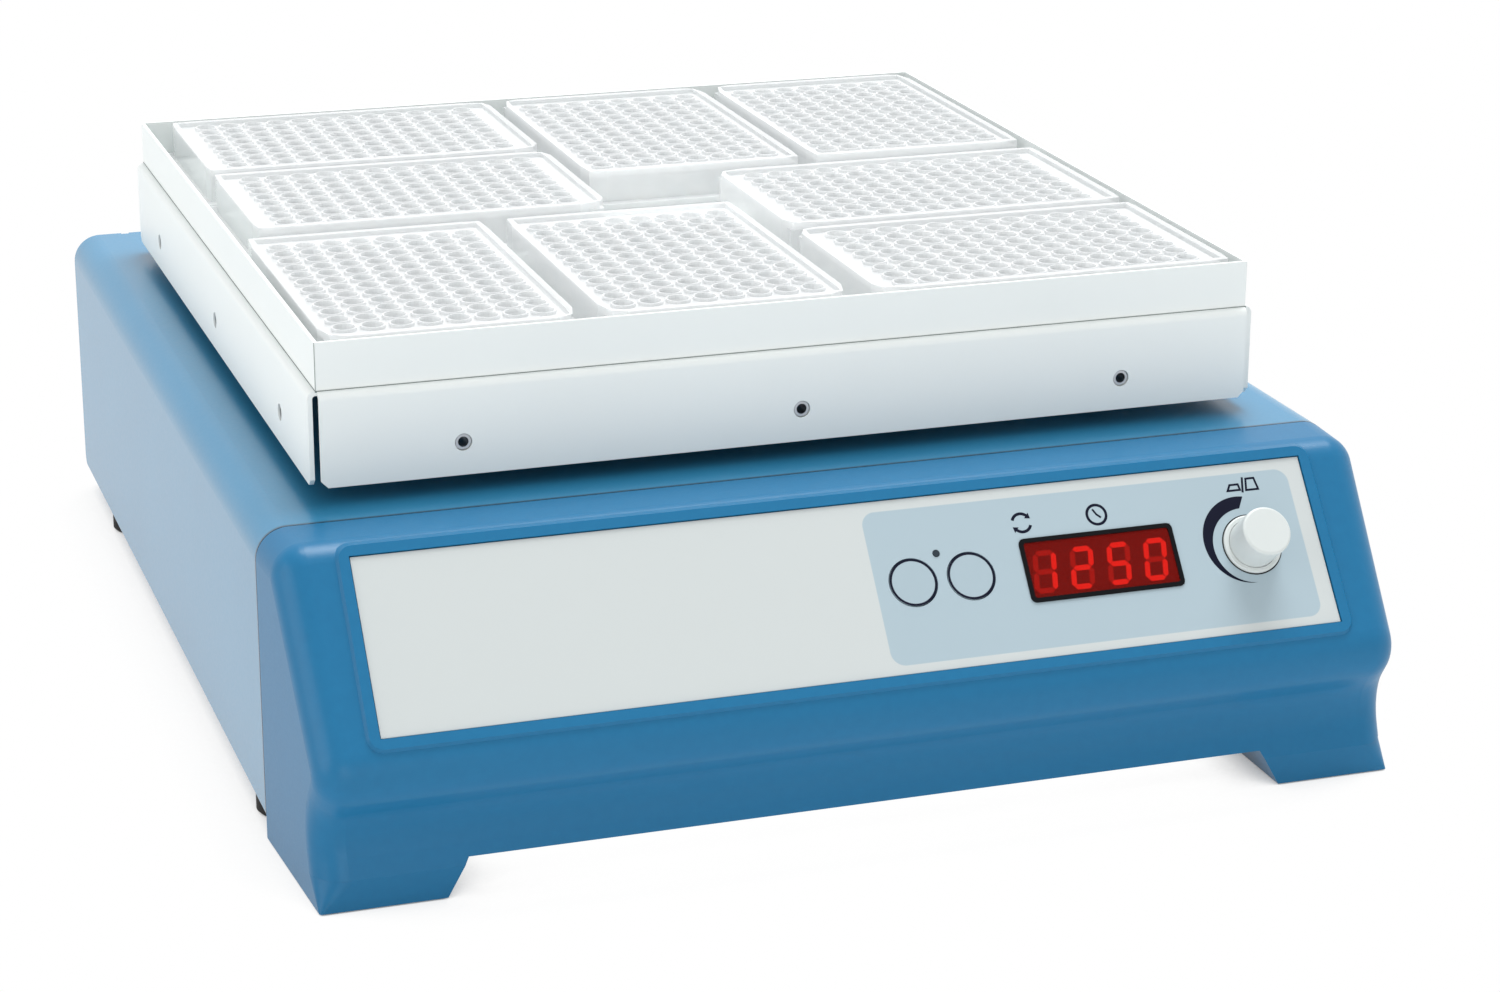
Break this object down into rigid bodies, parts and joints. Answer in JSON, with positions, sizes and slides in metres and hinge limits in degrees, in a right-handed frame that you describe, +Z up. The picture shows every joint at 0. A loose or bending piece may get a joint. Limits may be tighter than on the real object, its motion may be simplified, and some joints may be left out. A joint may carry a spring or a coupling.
{
  "type": "microplate shaker",
  "caption": "Bench-top orbital shaker for microplates: blue case with a sloped control panel, and a square platform that circles on cranks under a tray of clear microplates.",
  "frame": {"origin": "on the bench under the middle of the case", "axes": "+X to the right seen from the control panel, +Y to the back, +Z up"},
  "size_m": [0.356, 0.424, 0.1515],
  "materials": {
    "case_enamel": "satin",
    "blue_abs": "gloss",
    "platform_enamel": "satin",
    "clear_polystyrene": "gloss",
    "label_film": "matte",
    "black_abs": "matte",
    "red_acrylic": "gloss",
    "button_film": "matte",
    "white_abs": "gloss",
    "green_lens": "gloss",
    "foot_rubber": "matte",
    "zinc_steel": "plated",
    "bearing_steel": "ground",
    "deck_aluminium": "milled",
    "board_laminate": "satin",
    "motor_black": "satin",
    "belt_rubber": "matte"
  },
  "bodies": {
    "case": {"case_cover": "case_enamel", "front_moulding": "blue_abs", "base_plate": "zinc_steel", "rear_panel": "case_enamel", "rubber_foot_front_left": "foot_rubber", "rubber_foot_front_right": "foot_rubber", "rubber_foot_rear_left": "foot_rubber", "rubber_foot_rear_right": "foot_rubber", "base_screws": "zinc_steel", "rear_screws": "zinc_steel", "mains_inlet": "black_abs", "control_label": "label_film", "display_bezel": "black_abs", "display_window": "red_acrylic", "control_board": "board_laminate", "display_module": "black_abs", "status_led": "green_lens", "encoder_body": "black_abs", "drive_deck": "deck_aluminium", "deck_pillars": "deck_aluminium", "deck_screws": "zinc_steel", "crank_housing_drive": "deck_aluminium", "crank_housing_idler_left": "deck_aluminium", "crank_housing_idler_right": "deck_aluminium", "crank_bearings_drive": "bearing_steel", "crank_bearings_idler_left": "bearing_steel", "crank_bearings_idler_right": "bearing_steel", "drive_motor": "motor_black", "drive_belt": "belt_rubber", "power_board": "board_laminate"},
    "drive_crank": {"drive_crank": "bearing_steel", "driven_pulley": "deck_aluminium", "counterweight": "zinc_steel"},
    "platform": {"lower_platform": "platform_enamel", "platform_subframe": "deck_aluminium", "platform_bearings": "bearing_steel", "threaded_inserts": "zinc_steel", "platform_tray": "platform_enamel", "tray_screws": "zinc_steel"},
    "idler_left": {"idler_crank_left": "bearing_steel"},
    "idler_right": {"idler_crank_right": "bearing_steel"},
    "motor_rotor": {"motor_shaft": "bearing_steel", "motor_pulley": "deck_aluminium"},
    "start_button": {"start_button": "button_film"},
    "mode_button": {"mode_button": "button_film"},
    "knob_carriage": {"switch_plunger": "black_abs"},
    "knob": {"speed_knob": "white_abs", "knob_shaft": "bearing_steel"},
    "fuse_drawer": {"fuse_drawer": "black_abs"},
    "microplate_1": {"microplate_1": "clear_polystyrene"},
    "microplate_2": {"microplate_2": "clear_polystyrene"},
    "microplate_3": {"microplate_3": "clear_polystyrene"},
    "microplate_4": {"microplate_4": "clear_polystyrene"},
    "microplate_5": {"microplate_5": "clear_polystyrene"},
    "microplate_6": {"microplate_6": "clear_polystyrene"},
    "microplate_7": {"microplate_7": "clear_polystyrene"},
    "microplate_8": {"microplate_8": "clear_polystyrene"}
  },
  "joints": [
    {"name": "drive_crank_spin", "type": "hinge", "parent": "case", "child": "drive_crank", "pos_m": [-0.00075, 0.094, 0.06], "axis": [0, 0, 1], "continuous": true},
    {"name": "platform_orbit", "type": "hinge", "parent": "drive_crank", "child": "platform", "pos_m": [0, 0.094, 0.116], "axis": [0, 0, 1], "continuous": true},
    {"name": "idler_left_spin", "type": "hinge", "parent": "case", "child": "idler_left", "pos_m": [-0.08875, -0.026, 0.077], "axis": [0, 0, 1], "continuous": true},
    {"name": "idler_right_spin", "type": "hinge", "parent": "case", "child": "idler_right", "pos_m": [0.08725, -0.026, 0.077], "axis": [0, 0, 1], "continuous": true},
    {"name": "motor_spin", "type": "hinge", "parent": "case", "child": "motor_rotor", "pos_m": [-0.084, 0.118, 0.04], "axis": [0, 0, 1], "continuous": true},
    {"name": "start_press", "type": "slide", "parent": "case", "child": "start_button", "axis": [0, 0.7793, -0.6266], "range_m": [0, 0.0004], "stiffness_N_per_m": 900, "springref_m": -0.0005},
    {"name": "mode_press", "type": "slide", "parent": "case", "child": "mode_button", "axis": [0, 0.7793, -0.6266], "range_m": [0, 0.0004], "stiffness_N_per_m": 900, "springref_m": -0.0005},
    {"name": "knob_press", "type": "slide", "parent": "case", "child": "knob_carriage", "axis": [0, 0.7793, -0.6266], "range_m": [0, 0.0025], "stiffness_N_per_m": 800, "springref_m": -0.0015},
    {"name": "knob_turn", "type": "hinge", "parent": "knob_carriage", "child": "knob", "pos_m": [0.1312, -0.1889, 0.07556], "axis": [0, -0.7793, 0.6266], "continuous": true},
    {"name": "fuse_drawer_slide", "type": "slide", "parent": "case", "child": "fuse_drawer", "axis": [0, 1, 0], "range_m": [0, 0.016]},
    {"name": "microplate_1_lift", "type": "slide", "parent": "platform", "child": "microplate_1", "axis": [0, 0, 1], "range_m": [0, 0.04]},
    {"name": "microplate_2_lift", "type": "slide", "parent": "platform", "child": "microplate_2", "axis": [0, 0, 1], "range_m": [0, 0.04]},
    {"name": "microplate_3_lift", "type": "slide", "parent": "platform", "child": "microplate_3", "axis": [0, 0, 1], "range_m": [0, 0.04]},
    {"name": "microplate_4_lift", "type": "slide", "parent": "platform", "child": "microplate_4", "axis": [0, 0, 1], "range_m": [0, 0.04]},
    {"name": "microplate_5_lift", "type": "slide", "parent": "platform", "child": "microplate_5", "axis": [0, 0, 1], "range_m": [0, 0.04]},
    {"name": "microplate_6_lift", "type": "slide", "parent": "platform", "child": "microplate_6", "axis": [0, 0, 1], "range_m": [0, 0.04]},
    {"name": "microplate_7_lift", "type": "slide", "parent": "platform", "child": "microplate_7", "axis": [0, 0, 1], "range_m": [0, 0.04]},
    {"name": "microplate_8_lift", "type": "slide", "parent": "platform", "child": "microplate_8", "axis": [0, 0, 1], "range_m": [0, 0.04]}
  ],
  "couplings": [
    {"joint": "drive_crank_spin", "follows": "platform_orbit", "ratio": -1},
    {"joint": "idler_left_spin", "follows": "platform_orbit", "ratio": -1},
    {"joint": "idler_right_spin", "follows": "platform_orbit", "ratio": -1},
    {"joint": "motor_spin", "follows": "platform_orbit", "ratio": -2.4077}
  ]
}
